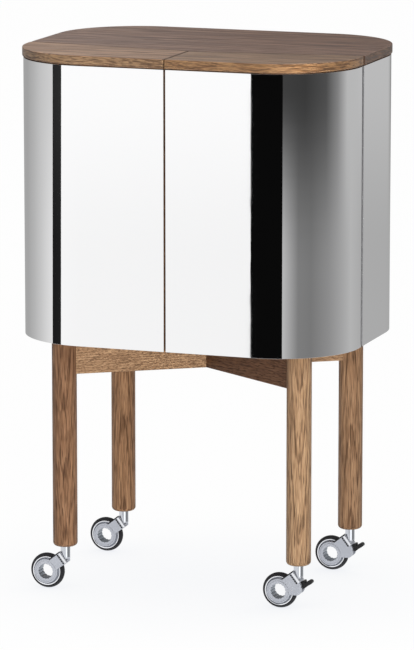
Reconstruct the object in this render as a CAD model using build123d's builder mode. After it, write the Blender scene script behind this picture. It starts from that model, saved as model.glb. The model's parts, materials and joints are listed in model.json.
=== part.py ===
from build123d import *
import os
from math import atan, cos, hypot, radians, sin, tan

# Bar trolley: a mirror-steel cabinet with a three-piece oak top and two corner doors, on four round
# oak legs, a crossed rail frame and four swivel castors with hollow hubs.
# Millimetres, +Z up, the doors face -Y, and the origin is on the floor under the middle of the top.

# Shell
body_width = 630.0
body_depth = 460.0
corner_radius = 150.0
overall_height = 995.0
shell_bottom = 471.0
skin_thickness = 1.2
glue_line = 0.15  # between a skin and its panel
panel_thickness = 15.0
panel_recess = 1.0  # the panels end this far above the skins' lower edge
shadow_gap = 2.3  # between a skin and the top
groove_depth = 6.0  # how far the panels stand back behind the shadow gap

# Top
top_thickness = 16.3
top_overhang = 2.0
top_edge_radius = 1.5
top_seam_gap = 2.2
hinge_corner_radius = 5.0  # where a door's top turns past the rear top at the hinge

# Seams between the doors and the fixed rear part
hinge_setback = 14.0  # the hinge axis lies this far behind the end of the rounded corner
seam_drop = 38.0  # the cross seam comes this far forward from the hinges to the middle
door_gap = 3.8
board_gap = 2.0

# Boards inside
board_thickness = 15.0
board_fit = 0.3  # between a board's edge and the wall round it
shelf_low = 805.0
pin_radius = 2.5
pin_length = 20.0
pin_depth = 10.0  # how much of a shelf pin is in the wall
pin_inset = 30.0  # from the ends of the flat side wall to the pins
peg_clearance = 0.05  # round every pin and screw that sits in a hole

# Bottle bars on the door shelves
bar_radius = 3.0
post_radius = 4.0
bar_height = 45.0
bar_inset = 14.0  # from the shelf's edges to the bar
bar_bend = 30.0
bar_side_margin = 60.0
bar_front_margin = 40.0

# Door hinges
leaf_thickness = 0.8
leaf_width = 14.0
leaf_clearance = 0.4  # between the two leaves of a closed hinge
knuckle_radius = 1.8
knuckle_relief = 0.3
knuckle_count = 13
knuckle_end_gap = 0.3
hinge_pin_radius = 1.0
hinge_running_clearance = 0.05
hinge_end_inset = 3.0
hinge_screw_count = 6
hinge_screw_radius = 1.2
hinge_screw_head_radius = 2.2
hinge_screw_length = 14.0

# Magnet catches in the edges of the bottom boards
magnet_radius = 4.0
magnet_length = 12.0
magnet_from_middle = 60.0
strike_thickness = 2.0

# Leg frame
leg_radius = 22.5
leg_round = 7.0
leg_side_inset = 90.5  # from the shell's side to a leg's axis
leg_front_inset = 84.0
leg_rear_inset = 72.0
leg_clearance = 3.0  # between the front legs and the doors that swing over them
rail_thickness = 24.0
rail_height = 66.0
rail_edge_radius = 1.5
plate_width = 160.0
plate_depth = 120.0
plate_corner_radius = 8.0
plate_screw_side = 58.0  # from the crossing to the screws that hold the rear bottom
plate_screw_front = 42.0
plate_screw_radius = 2.0
plate_screw_head_radius = 4.5
plate_screw_head_height = 2.5
plate_screw_bite = 11.0
rail_screw_offset = 42.0  # along a rail from the crossing
rail_screw_length = 32.0
leg_screw_offset = 11.0  # from a leg's axis, away from the crossing
leg_screw_radius = 3.0
leg_screw_head_radius = 5.5
leg_screw_head_height = 4.0
leg_screw_bite = 40.0
spacer_radius = 18.0

# Castors
wheel_radius = 32.5
trail_margin = 2.0  # the wheel trails its radius and this much behind the stem
wheel_to_leg = 17.0
tyre_width = 17.0
tyre_shoulder = 3.5  # drop of the tread from its middle to its shoulders
tyre_depth = 5.5
rim_width = 15.0
rim_edge_radius = 0.8
hub_radius = 19.5
hub_bore_radius = 13.5
hub_flute_radius = 0.9
hub_flute_count = 16
hub_proud = 0.4
wheel_running_clearance = 0.05
cheek_radius = 22.5
cheek_thickness = 2.5
cheek_gap = 0.5
tyre_gap = 1.0
arm_angle = 38.0
arm_width = 22.5
arm_rise = 1.25  # of the arm's middle line above the wheel's centre
arm_bridge = 12.0
bevel_angle = 45.0
bevel_margin = 0.6  # between the sleeve and the bevel at the rear end of an arm without a brake
toe_width = 4.0
fork_edge_radius = 0.8
sleeve_radius = 8.5
sleeve_drop = 1.5  # below the point where a line from the wheel's centre along the arm meets the stem
swivel_gap = 0.3
collar_radius = 8.0
collar_thickness = 1.5
stem_radius = 5.0
stem_depth = 45.0
stem_seat = 4.0
stem_running_clearance = 0.05

# Brake levers, on the two castors at the right
lever_nose_radius = 6.0
lever_hub_radius = 5.0
shoe_clearance = 0.55  # between the lever's nose and the tyre when pressed
lever_pivot_angle = 18.7  # of the pivot as seen from the wheel's centre
lever_press = 20.0
lever_width = 12.0
neck_height = 8.0
block_gap = 0.8  # between the lever's block and the fork's sleeve
block_width = 4.7
block_height = 14.5
block_drop = 5.5  # of the block's lower end below the pivot
paddle_angle = 33.0
paddle_length = 14.3  # between the middles of its round ends
paddle_thickness = 7.2
paddle_drop = 1.0  # of the paddle's inner end below the pivot
lever_side_gap = 0.3
lever_slot_gap = 0.5
trunnion_radius = 2.0
trunnion_length = 3.0
trunnion_clearance = 0.05
boss_radius = 9.5  # of the rounded lower end of a fork that has a brake
boss_length = 10.0
boss_height = 4.0  # above the axle
lug_radius = 6.2

# Places worked out from the sizes above
hinge_x = body_width / 2
corner_end_y = body_depth / 2 - corner_radius
hinge_y = hinge_setback - corner_end_y
seam_middle_y = hinge_y - seam_drop
seam_angle = atan(seam_drop / hinge_x)
reach = body_width + body_depth
top_underside = overall_height - top_thickness
panel_low = shell_bottom + panel_recess
panel_offset = -(skin_thickness + glue_line)
inside_offset = panel_offset - panel_thickness
board_offset = inside_offset - board_fit
bottom_top = panel_low + board_thickness
shelf_top = shelf_low + board_thickness
leaf_stack = leaf_thickness + leaf_clearance / 2
relief_radius = knuckle_radius + knuckle_relief
hinge_low = panel_low + hinge_end_inset
hinge_high = top_underside - hinge_end_inset
knuckle_pitch = (hinge_high - hinge_low) / knuckle_count
hinge_screw_x = hinge_x + panel_offset - panel_thickness / 2
hinge_screw_pitch = (hinge_high - hinge_low) / hinge_screw_count
hinge_screw_heights = [hinge_low + (i + 0.5) * hinge_screw_pitch for i in range(hinge_screw_count)]
rail_top = shell_bottom - leg_clearance
rail_low = rail_top - rail_height
plate_thickness = panel_low - rail_top
leg_x = body_width / 2 - leg_side_inset
front_leg_y = leg_front_inset - body_depth / 2
rear_leg_y = body_depth / 2 - leg_rear_inset
crossing_y = (front_leg_y + rear_leg_y) / 2
rail_length = hypot(2 * leg_x, rear_leg_y - front_leg_y)
rail_direction = ((2 * leg_x) / rail_length, (rear_leg_y - front_leg_y) / rail_length)
castor_height = 2 * wheel_radius + wheel_to_leg
trail = wheel_radius + trail_margin
cheek_inside = tyre_width / 2 + cheek_gap
fork_half = cheek_inside + cheek_thickness
rim_radius = wheel_radius - tyre_depth
arm_length = wheel_radius + tyre_gap + arm_bridge
sleeve_top = castor_height - collar_thickness - swivel_gap
sleeve_bottom = wheel_radius + trail * tan(radians(arm_angle)) - sleeve_drop
stem_low = sleeve_bottom + stem_seat
pivot_distance = wheel_radius + lever_nose_radius + shoe_clearance
pivot_x = pivot_distance * cos(radians(lever_pivot_angle)) - trail
pivot_z = pivot_distance * sin(radians(lever_pivot_angle)) + wheel_radius

leg_places = {
    "front_left": (-leg_x, front_leg_y),
    "front_right": (leg_x, front_leg_y),
    "rear_left": (-leg_x, rear_leg_y),
    "rear_right": (leg_x, rear_leg_y),
}
braked = ("front_right", "rear_right")
from_base = (Align.CENTER, Align.CENTER, Align.MIN)
pieces = {}


# Plan outlines: the rounded rectangle of the shell, grown or shrunk, and the zones it is cut into

def plan(offset, mode=Mode.ADD):
    RectangleRounded(body_width + 2 * offset, body_depth + 2 * offset, corner_radius + offset, mode=mode)


def seam_y(x, shift):
    """Y of the bent cross seam at a distance x from the middle, moved back by shift."""
    return seam_middle_y + x * tan(seam_angle) + shift / cos(seam_angle)


def rear_zone(gap):
    """Keeps what lies behind the cross seam."""
    side_y = seam_y(reach, gap / 2)
    outline = [(-reach, side_y), (0, seam_y(0, gap / 2)), (reach, side_y), (reach, reach), (-reach, reach)]
    Polygon(*outline, mode=Mode.INTERSECT)


def door_zone(gap):
    """Keeps what lies in front of the cross seam and right of the middle."""
    inner = gap / 2
    outline = [(inner, seam_y(inner, -gap / 2)), (reach, seam_y(reach, -gap / 2)), (reach, -reach)]
    Polygon(*outline, (inner, -reach), mode=Mode.INTERSECT)


def rear_wall_zone():
    edge = hinge_y + leaf_stack
    Polygon((-reach, edge), (reach, edge), (reach, reach), (-reach, reach), mode=Mode.INTERSECT)


def door_wall_zone():
    edge = hinge_y - leaf_stack
    Polygon((door_gap / 2, -reach), (reach, -reach), (reach, edge), (door_gap / 2, edge), mode=Mode.INTERSECT)


def board(low, thickness, offset, zone, gap):
    with BuildPart() as piece:
        with BuildSketch(Plane.XY.offset(low)):
            plan(offset)
            zone(gap)
        extrude(amount=thickness)
    return piece


def wall(low, high, outer, inner, zone):
    with BuildPart() as piece:
        with BuildSketch(Plane.XY.offset(low)):
            plan(outer)
            plan(inner, mode=Mode.SUBTRACT)
            zone()
            with Locations((-hinge_x, hinge_y), (hinge_x, hinge_y)):
                Circle(relief_radius, mode=Mode.SUBTRACT)
        extrude(amount=high - low)
    return piece


def mirrored(source):
    """The left-hand twin of a right-hand piece."""
    with BuildPart() as piece:
        mirror(source.part, about=Plane.YZ)
    return piece


# Top: each piece has its edges rounded, and the corners at the hinges are rounder

def top_piece(zone):
    with BuildPart() as piece:
        with BuildSketch(Plane.XY.offset(top_underside)):
            plan(top_overhang)
            zone(top_seam_gap)
        extrude(amount=top_thickness)
        uprights = piece.edges().filter_by(Axis.Z)
        at_hinge = [edge for edge in uprights if edge.center().Y < hinge_y + hinge_setback and
                    edge.center().Y > hinge_y - hinge_setback / 2 and abs(edge.center().X) > hinge_x]
        fillet(at_hinge, hinge_corner_radius)
        rims = piece.edges().group_by(Axis.Z)
        fillet(rims[0] + rims[-1], top_edge_radius)
    return piece


rear_top = top_piece(rear_zone)
right_door_top = top_piece(door_zone)
pieces["rear_top"] = rear_top
pieces["right_door_top"] = right_door_top
pieces["left_door_top"] = mirrored(right_door_top)

# Skins of polished steel, one on the rear and one on each door

skin_high = top_underside - shadow_gap
pieces["rear_skin"] = wall(shell_bottom, skin_high, 0, -skin_thickness, rear_wall_zone)
right_door_skin = wall(shell_bottom, skin_high, 0, -skin_thickness, door_wall_zone)
pieces["right_door_skin"] = right_door_skin
pieces["left_door_skin"] = mirrored(right_door_skin)


# Panels behind the skins, bored for the hinge screws and the shelf pins

def screw_places(side, towards, distance):
    """Where the screws of a hinge stand, at a distance from its axis and pointing along Y."""
    y = hinge_y + towards * distance
    return [Location((side * hinge_screw_x, y, z), (-90 * towards, 0, 0)) for z in hinge_screw_heights]


def screw_holes(side, towards):
    with Locations(*screw_places(side, towards, leaf_stack)):
        Cylinder(hinge_screw_radius + peg_clearance, hinge_screw_length, align=from_base, mode=Mode.SUBTRACT)


inside_x = hinge_x + inside_offset
pin_z = shelf_low - pin_radius - peg_clearance
pin_places = [(x, y, pin_z) for x in (-inside_x, inside_x)
              for y in (hinge_y + pin_inset, corner_end_y - pin_inset)]


def shelf_pin(place, radius, mode):
    """A round pin lying across a side wall, from pin_depth inside it."""
    outward = 1 if place[0] > 0 else -1
    with Locations(Location((place[0] + outward * pin_depth, place[1], place[2]), (0, -90 * outward, 0))):
        Cylinder(radius, pin_length, align=from_base, mode=mode)


groove_offset = panel_offset - groove_depth
rear_wall = wall(panel_low, skin_high, panel_offset, inside_offset, rear_wall_zone)
rear_neck = wall(skin_high, top_underside, groove_offset, inside_offset, rear_wall_zone)
with BuildPart() as rear_panel:
    add(rear_wall.part)
    add(rear_neck.part)
    screw_holes(-1, 1)
    screw_holes(1, 1)
    for place in pin_places:
        shelf_pin(place, pin_radius + peg_clearance, Mode.SUBTRACT)
pieces["rear_panel"] = rear_panel

door_wall = wall(panel_low, skin_high, panel_offset, inside_offset, door_wall_zone)
door_neck = wall(skin_high, top_underside, groove_offset, inside_offset, door_wall_zone)
with BuildPart() as right_door_panel:
    add(door_wall.part)
    add(door_neck.part)
    screw_holes(1, -1)
pieces["right_door_panel"] = right_door_panel
pieces["left_door_panel"] = mirrored(right_door_panel)

# Frame screws: where they stand, which the boards, the plate, the rails and the legs are bored for

plate_screw_places = [(plate_screw_side, crossing_y), (-plate_screw_side, crossing_y),
                      (0, crossing_y + plate_screw_front), (0, crossing_y - plate_screw_front)]
rail_screw_places = [(side * end * rail_screw_offset * rail_direction[0],
                      crossing_y + end * rail_screw_offset * rail_direction[1])
                     for side in (-1, 1) for end in (-1, 1)]
leg_screw_places = [(side * (leg_x + leg_screw_offset * rail_direction[0]),
                     rear_leg_y + leg_screw_offset * rail_direction[1]) for side in (-1, 1)]


def upright_rods(places, z, radius, height, mode=Mode.ADD):
    """Round rods that start at z and go up by height, or down where it is negative."""
    start = Align.MIN if height > 0 else Align.MAX
    with Locations(*[(x, y, z) for x, y in places]):
        Cylinder(radius, abs(height), align=(Align.CENTER, Align.CENTER, start), mode=mode)


def upright_holes(places, z, radius, height):
    upright_rods(places, z, radius + peg_clearance, height, Mode.SUBTRACT)


# Bottom and shelf boards: the rear ones are fixed, and each door has its own


def catch_plane(side, towards):
    """On a bottom board's edge at the cross seam, facing forward; towards is 1 for the rear board."""
    along = magnet_from_middle
    x = along * cos(seam_angle) - towards * board_gap / 2 * sin(seam_angle)
    y = seam_middle_y + along * sin(seam_angle) + towards * board_gap / 2 * cos(seam_angle)
    middle = panel_low + board_thickness / 2
    return Plane(origin=(side * x, y, middle), z_dir=(side * sin(seam_angle), -cos(seam_angle), 0))


rear_floor = board(panel_low, board_thickness, board_offset, rear_zone, board_gap)
with BuildPart() as rear_bottom:
    add(rear_floor.part)
    upright_holes(plate_screw_places, panel_low, plate_screw_radius, plate_screw_bite)
    upright_holes(leg_screw_places, panel_low, leg_screw_radius, board_thickness)
    upright_holes(leg_screw_places, bottom_top, leg_screw_head_radius, -leg_screw_head_height)
    for side in (-1, 1):
        with BuildSketch(catch_plane(side, 1)):
            Circle(magnet_radius + peg_clearance)
        extrude(amount=-magnet_length, mode=Mode.SUBTRACT)
pieces["rear_bottom"] = rear_bottom

door_floor = board(panel_low, board_thickness, board_offset, door_zone, board_gap)
with BuildPart() as right_door_bottom:
    add(door_floor.part)
    with BuildSketch(catch_plane(1, -1)):
        Circle(magnet_radius + peg_clearance)
    extrude(amount=strike_thickness, mode=Mode.SUBTRACT)
pieces["right_door_bottom"] = right_door_bottom
pieces["left_door_bottom"] = mirrored(right_door_bottom)

pieces["rear_shelf"] = board(shelf_low, board_thickness, board_offset, rear_zone, board_gap)
right_door_shelf = board(shelf_low, board_thickness, board_offset, door_zone, board_gap)
pieces["right_door_shelf"] = right_door_shelf
pieces["left_door_shelf"] = mirrored(right_door_shelf)

with BuildPart() as shelf_pins:
    for place in pin_places:
        shelf_pin(place, pin_radius, Mode.ADD)
pieces["shelf_pins"] = shelf_pins

# Bottle bars: a round bar on posts along the door shelf's two open edges

bar_z = shelf_top + bar_height
bar_shift = -(board_gap / 2 + bar_inset)
bar_inner_x = board_gap / 2 + bar_inset
bar_side_x = body_width / 2 - bar_side_margin
bar_side = (bar_side_x, seam_y(bar_side_x, bar_shift), bar_z)
bar_corner = (bar_inner_x, seam_y(bar_inner_x, bar_shift), bar_z)
bar_front = (bar_inner_x, bar_front_margin - body_depth / 2, bar_z)
bar_middle_x = (bar_side_x + bar_inner_x) / 2
bar_posts = [bar_side[:2], (bar_middle_x, seam_y(bar_middle_x, bar_shift)), bar_front[:2]]

with BuildPart() as right_bottle_bar:
    with BuildLine():
        route = FilletPolyline(bar_side, bar_corner, bar_front, radius=bar_bend)
    with BuildSketch(Plane(origin=route @ 0, z_dir=route % 0)):
        Circle(bar_radius)
    sweep()
    with BuildSketch(Plane.XY.offset(shelf_top)):
        with Locations(*bar_posts):
            Circle(post_radius)
    extrude(amount=bar_height + post_radius)
pieces["right_bottle_bar"] = right_bottle_bar
pieces["left_bottle_bar"] = mirrored(right_bottle_bar)

# Magnets in the rear bottom's edge, and the strike plates that they hold

with BuildPart() as catch_magnets:
    for side in (-1, 1):
        with BuildSketch(catch_plane(side, 1)):
            Circle(magnet_radius)
        extrude(amount=-magnet_length)
pieces["catch_magnets"] = catch_magnets

with BuildPart() as right_strike_plate:
    with BuildSketch(catch_plane(1, -1)):
        Circle(magnet_radius)
    extrude(amount=strike_thickness)
pieces["right_strike_plate"] = right_strike_plate
pieces["left_strike_plate"] = mirrored(right_strike_plate)


# Door hinges: long hinges on the outer face of the shell, their leaves on the panels' edges

def hinge_leaf(towards, first):
    """A leaf of the right hinge: towards is 1 for the fixed one, and first is its lowest knuckle."""
    near = hinge_y + towards * leaf_clearance / 2
    far = hinge_y + towards * leaf_stack
    plate_start = hinge_x - leaf_width
    plate_end = hinge_x - relief_radius - knuckle_relief
    knuckles = [hinge_low + i * knuckle_pitch for i in range(first, knuckle_count, 2)]
    with BuildPart() as leaf:
        with BuildSketch(Plane.XY.offset(hinge_low)):
            Polygon((plate_start, near), (plate_end, near), (plate_end, far), (plate_start, far))
        extrude(amount=hinge_high - hinge_low)
        for low in knuckles:
            with BuildSketch(Plane.XY.offset(low + knuckle_end_gap / 2)):
                with Locations((hinge_x, hinge_y)):
                    Circle(knuckle_radius)
                Polygon((plate_end, near), (hinge_x, near), (hinge_x, far), (plate_end, far))
            extrude(amount=knuckle_pitch - knuckle_end_gap)
        with BuildSketch(Plane.XY.offset(hinge_low)):
            with Locations((hinge_x, hinge_y)):
                Circle(hinge_pin_radius + hinge_running_clearance)
        extrude(amount=hinge_high - hinge_low, mode=Mode.SUBTRACT)
        with Locations(*screw_places(1, towards, leaf_clearance / 2)):
            Cone(hinge_screw_head_radius + peg_clearance, hinge_screw_radius + peg_clearance, leaf_thickness,
                 align=from_base, mode=Mode.SUBTRACT)
    return leaf


def hinge_screws(towards):
    """Flat-headed screws through a leaf of the right hinge into the panel's edge."""
    with BuildPart() as screws:
        with Locations(*screw_places(1, towards, leaf_clearance / 2)):
            Cone(hinge_screw_head_radius, hinge_screw_radius, leaf_thickness, align=from_base)
        with Locations(*screw_places(1, towards, leaf_stack)):
            Cylinder(hinge_screw_radius, hinge_screw_length - peg_clearance, align=from_base)
    return screws


right_fixed_leaf = hinge_leaf(1, 0)
right_door_leaf = hinge_leaf(-1, 1)
right_door_screws = hinge_screws(-1)
pieces["right_hinge_fixed_leaf"] = right_fixed_leaf
pieces["left_hinge_fixed_leaf"] = mirrored(right_fixed_leaf)
pieces["right_hinge_door_leaf"] = right_door_leaf
pieces["left_hinge_door_leaf"] = mirrored(right_door_leaf)
pieces["right_hinge_screws"] = right_door_screws
pieces["left_hinge_screws"] = mirrored(right_door_screws)

right_fixed_screws = hinge_screws(1)
with BuildPart() as hinge_frame_screws:
    add(right_fixed_screws.part)
    mirror(right_fixed_screws.part, about=Plane.YZ)
pieces["hinge_frame_screws"] = hinge_frame_screws

with BuildPart() as right_hinge_pin:
    with BuildSketch(Plane.XY.offset(hinge_low)):
        with Locations((hinge_x, hinge_y)):
            Circle(hinge_pin_radius)
    extrude(amount=hinge_high - hinge_low)
pieces["right_hinge_pin"] = right_hinge_pin
pieces["left_hinge_pin"] = mirrored(right_hinge_pin)


# Leg frame: two rails halved into each other at the crossing, their ends let into the legs

def rail_plane(z, lean):
    """At the crossing, with X along the rail that leans right (1) or left (-1) towards the rear."""
    along = (lean * rail_direction[0], rail_direction[1], 0)
    return Plane(origin=(0, crossing_y, z), x_dir=along, z_dir=(0, 0, 1))


def cross_rail(lean, notch_low):
    with BuildPart() as rail:
        with BuildSketch(rail_plane(rail_low, lean)):
            Rectangle(rail_length, rail_thickness)
        extrude(amount=rail_height)
        long_edges = rail.edges().group_by(Axis.Z)[0].sort_by(SortBy.LENGTH)[-2:]
        fillet(long_edges, rail_edge_radius)
        with BuildSketch(rail_plane(notch_low, -lean)):
            Rectangle(rail_length, rail_thickness)
        extrude(amount=rail_height / 2, mode=Mode.SUBTRACT)
        own_screws = [p for p in rail_screw_places if (p[0] > 0) == (lean * (p[1] - crossing_y) > 0)]
        upright_holes(own_screws, rail_top, plate_screw_radius, -rail_screw_length)
    return rail


pieces["right_leaning_rail"] = cross_rail(1, rail_low + rail_height / 2)
pieces["left_leaning_rail"] = cross_rail(-1, rail_low)

for name, (x, y) in leg_places.items():
    inward_x = -rail_direction[0] if x > 0 else rail_direction[0]
    inward_y = -rail_direction[1] if y > crossing_y else rail_direction[1]
    with BuildPart() as leg:
        with BuildSketch(Plane(origin=(x, y, castor_height), z_dir=(0, 0, 1))):
            Circle(leg_radius)
        extrude(amount=rail_top - castor_height)
        fillet(leg.edges().group_by(Axis.Z)[0], leg_round)
        with BuildSketch(Plane(origin=(x, y, rail_low), x_dir=(inward_x, inward_y, 0), z_dir=(0, 0, 1))):
            Rectangle(2 * leg_radius, rail_thickness, align=(Align.MIN, Align.CENTER))
        extrude(amount=rail_height, mode=Mode.SUBTRACT)
        with BuildSketch(Plane(origin=(x, y, castor_height), z_dir=(0, 0, 1))):
            Circle(stem_radius + peg_clearance)
        extrude(amount=stem_depth + swivel_gap, mode=Mode.SUBTRACT)
        if y == rear_leg_y:
            own_screw = [p for p in leg_screw_places if p[0] * x > 0]
            upright_holes(own_screw, rail_top, leg_screw_radius, -leg_screw_bite)
    pieces[name + "_leg"] = leg

with BuildPart() as mount_plate:
    with BuildSketch(Plane.XY.offset(rail_top)):
        with Locations((0, crossing_y)):
            RectangleRounded(plate_width, plate_depth, plate_corner_radius)
    extrude(amount=plate_thickness)
    upright_holes(plate_screw_places, rail_top, plate_screw_radius, plate_thickness)
    upright_holes(rail_screw_places, rail_top, plate_screw_radius, plate_thickness)
    upright_holes(rail_screw_places, panel_low, plate_screw_head_radius, -plate_screw_head_height)
pieces["mount_plate"] = mount_plate

with BuildPart() as leg_spacers:
    with BuildSketch(Plane.XY.offset(rail_top)):
        with Locations((-leg_x, rear_leg_y), (leg_x, rear_leg_y)):
            Circle(spacer_radius)
    extrude(amount=plate_thickness)
    upright_holes(leg_screw_places, rail_top, leg_screw_radius, plate_thickness)
pieces["leg_spacers"] = leg_spacers


def upright_screws(places, head_face, head_radius, head_height, shank_radius, shank_length):
    """Screws whose heads start at head_face; negative lengths point down."""
    upright_rods(places, head_face, head_radius, head_height)
    upright_rods(places, head_face + head_height, shank_radius, shank_length)


plate_screw_shank = plate_thickness + plate_screw_bite - peg_clearance
rail_screw_shank = plate_thickness + rail_screw_length - plate_screw_head_height - peg_clearance
leg_screw_grip = board_thickness + plate_thickness - leg_screw_head_height
leg_screw_shank = leg_screw_grip + leg_screw_bite - peg_clearance

with BuildPart() as frame_screws:
    upright_screws(plate_screw_places, rail_top - plate_screw_head_height, plate_screw_head_radius,
                   plate_screw_head_height, plate_screw_radius, plate_screw_shank)
    upright_screws(rail_screw_places, panel_low, plate_screw_head_radius,
                   -plate_screw_head_height, plate_screw_radius, -rail_screw_shank)
    upright_screws(leg_screw_places, bottom_top, leg_screw_head_radius,
                   -leg_screw_head_height, leg_screw_radius, -leg_screw_shank)
pieces["frame_screws"] = frame_screws

# Castor stems: a pin in each leg, with a collar under it

with BuildPart() as castor_stems:
    with BuildSketch(Plane.XY.offset(stem_low)):
        with Locations(*leg_places.values()):
            Circle(stem_radius)
    extrude(amount=castor_height + stem_depth - stem_low)
    with BuildSketch(Plane.XY.offset(castor_height)):
        with Locations(*leg_places.values()):
            Circle(collar_radius)
    extrude(amount=-collar_thickness)
pieces["castor_stems"] = castor_stems


# Castors: drawn on an upright plane through the leg's axis, X along the trail and Y up

def side_plane(x, y):
    return Plane(origin=(x, y, 0), x_dir=(1, 0, 0), z_dir=(0, -1, 0))


wheel_centre = (-trail, wheel_radius)
boss_outer = (pivot_x + lug_radius - boss_radius, wheel_radius + boss_height)
boss_inner = (boss_outer[0] - boss_length, boss_outer[1])
arm_way = (cos(radians(arm_angle)), sin(radians(arm_angle)))
bevel_reach = sleeve_radius + bevel_margin
bevel_place = (bevel_reach * cos(radians(bevel_angle)), bevel_reach * sin(radians(bevel_angle)))


def on_arm(along, across):
    """A point on the side plane, measured along the arm from the wheel's centre and across it."""
    x = along * arm_way[0] - across * arm_way[1] - trail
    z = along * arm_way[1] + across * arm_way[0] + wheel_radius
    return (x, z)


def castor_toe(x, y):
    """The end of an arm's lower edge under the sleeve, as round as the sleeve."""
    with BuildPart() as toe:
        with BuildSketch(side_plane(x, y)):
            with Locations(Location(on_arm(arm_length, arm_rise + (toe_width - arm_width) / 2), arm_angle)):
                Rectangle(2 * sleeve_radius, toe_width)
        extrude(amount=sleeve_radius, both=True)
        with BuildSketch(Plane(origin=(x, y, 0), z_dir=(0, 0, 1))):
            Circle(sleeve_radius)
        extrude(amount=castor_height, mode=Mode.INTERSECT)
    return toe


def castor_fork(x, y, has_brake):
    side = side_plane(x, y)
    with BuildPart() as fork:
        with BuildSketch(side):
            with Locations(wheel_centre):
                Circle(cheek_radius)
            with Locations(Location(on_arm(arm_length / 2, arm_rise), arm_angle)):
                Rectangle(arm_length, arm_width)
        extrude(amount=fork_half, both=True)
        if has_brake:
            with BuildSketch(side):
                with Locations(boss_inner, boss_outer):
                    Circle(boss_radius)
                with Locations((pivot_x, pivot_z)):
                    Circle(lug_radius)
                make_hull()
            extrude(amount=fork_half, both=True)
        outer_faces = fork.faces().filter_by(Axis.Y).sort_by(Axis.Y)
        fillet(outer_faces[0].edges() + outer_faces[-1].edges(), fork_edge_radius)
        if not has_brake:
            with BuildSketch(Plane(origin=(x, y, 0), z_dir=(0, 0, 1))):
                with Locations(Location(bevel_place, bevel_angle)):
                    Rectangle(trail, trail, align=(Align.MIN, Align.CENTER))
            extrude(amount=castor_height, mode=Mode.SUBTRACT)
        with BuildSketch(Plane(origin=(x, y, sleeve_bottom), z_dir=(0, 0, 1))):
            Circle(sleeve_radius)
        extrude(amount=sleeve_top - sleeve_bottom)
        if not has_brake:
            add(castor_toe(x, y).part)
        with BuildSketch(side):
            with Locations(wheel_centre):
                Circle(wheel_radius + tyre_gap)
        extrude(amount=cheek_inside, both=True, mode=Mode.SUBTRACT)
        with BuildSketch(side):
            with Locations(wheel_centre):
                Circle(hub_radius + peg_clearance)
        extrude(amount=fork_half, both=True, mode=Mode.SUBTRACT)
        with BuildSketch(Plane(origin=(x, y, stem_low - swivel_gap), z_dir=(0, 0, 1))):
            Circle(stem_radius + stem_running_clearance)
        extrude(amount=sleeve_top - stem_low + swivel_gap, mode=Mode.SUBTRACT)
        if has_brake:
            with BuildSketch(side):
                with Locations((pivot_x, pivot_z)):
                    Circle(lever_nose_radius + lever_slot_gap)
                with Locations(boss_outer):
                    Circle(boss_radius + lever_slot_gap)
                make_hull()
            extrude(amount=lever_width / 2 + lever_side_gap, both=True, mode=Mode.SUBTRACT)
            with BuildSketch(side):
                with Locations((pivot_x, pivot_z)):
                    Circle(trunnion_radius + trunnion_clearance)
            extrude(amount=lever_width / 2 + trunnion_length + lever_side_gap, both=True, mode=Mode.SUBTRACT)
    return fork


def castor_hub(x, y):
    with BuildPart() as hub:
        with BuildSketch(side_plane(x, y)):
            with Locations(wheel_centre):
                Circle(hub_radius)
                Circle(hub_bore_radius, mode=Mode.SUBTRACT)
                with PolarLocations(hub_bore_radius, hub_flute_count):
                    Circle(hub_flute_radius, mode=Mode.SUBTRACT)
        extrude(amount=fork_half + hub_proud, both=True)
    return hub


def castor_rim(x, y):
    with BuildPart() as rim:
        with BuildSketch(side_plane(x, y)):
            with Locations(wheel_centre):
                Circle(rim_radius)
                Circle(hub_radius + wheel_running_clearance, mode=Mode.SUBTRACT)
        extrude(amount=rim_width / 2, both=True)
        faces = rim.faces().filter_by(Axis.Y)
        inner = [face.edges().sort_by(SortBy.LENGTH)[0] for face in faces]
        fillet(inner, rim_edge_radius)
    return rim


def castor_tyre(x, y):
    """A ring with a rounded tread, turned about the wheel's axle."""
    middle = (x - trail, y, wheel_radius)
    half = tyre_width / 2
    seat = rim_width / 2
    shoulder = wheel_radius - tyre_shoulder
    with BuildPart() as tyre:
        with BuildSketch(Plane(origin=middle, x_dir=(0, 1, 0), z_dir=(1, 0, 0))):
            with BuildLine():
                ThreePointArc((-half, shoulder), (0, wheel_radius), (half, shoulder))
                Polyline((half, shoulder), (seat, rim_radius), (-seat, rim_radius), (-half, shoulder))
            make_face()
        revolve(axis=Axis(middle, (0, 1, 0)))
    return tyre


def brake_lever(x, y):
    side = side_plane(x, y)
    nose_angle = radians(lever_pivot_angle + 180 + lever_press)
    nose_step = lever_nose_radius - lever_hub_radius
    nose_x = pivot_x + nose_step * cos(nose_angle)
    nose_z = pivot_z + nose_step * sin(nose_angle)
    block_x = sleeve_radius + block_gap + block_width / 2
    block_z = pivot_z - block_drop + block_height / 2
    paddle_x = block_x + paddle_length / 2 * cos(radians(paddle_angle))
    paddle_z = pivot_z - paddle_drop + paddle_length / 2 * sin(radians(paddle_angle))
    with BuildPart() as lever:
        with BuildSketch(side):
            with Locations((pivot_x, pivot_z), (nose_x, nose_z)):
                Circle(lever_hub_radius)
            with Locations(((pivot_x + block_x) / 2, pivot_z)):
                Rectangle(block_x - pivot_x, neck_height)
            with Locations((block_x, block_z)):
                RectangleRounded(block_width, block_height, block_width / 3)
            with Locations((paddle_x, paddle_z)):
                SlotCenterToCenter(paddle_length, paddle_thickness, rotation=paddle_angle)
        extrude(amount=lever_width / 2, both=True)
        with BuildSketch(side):
            with Locations((pivot_x, pivot_z)):
                Circle(trunnion_radius)
        extrude(amount=lever_width / 2 + trunnion_length, both=True)
    return lever


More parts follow.
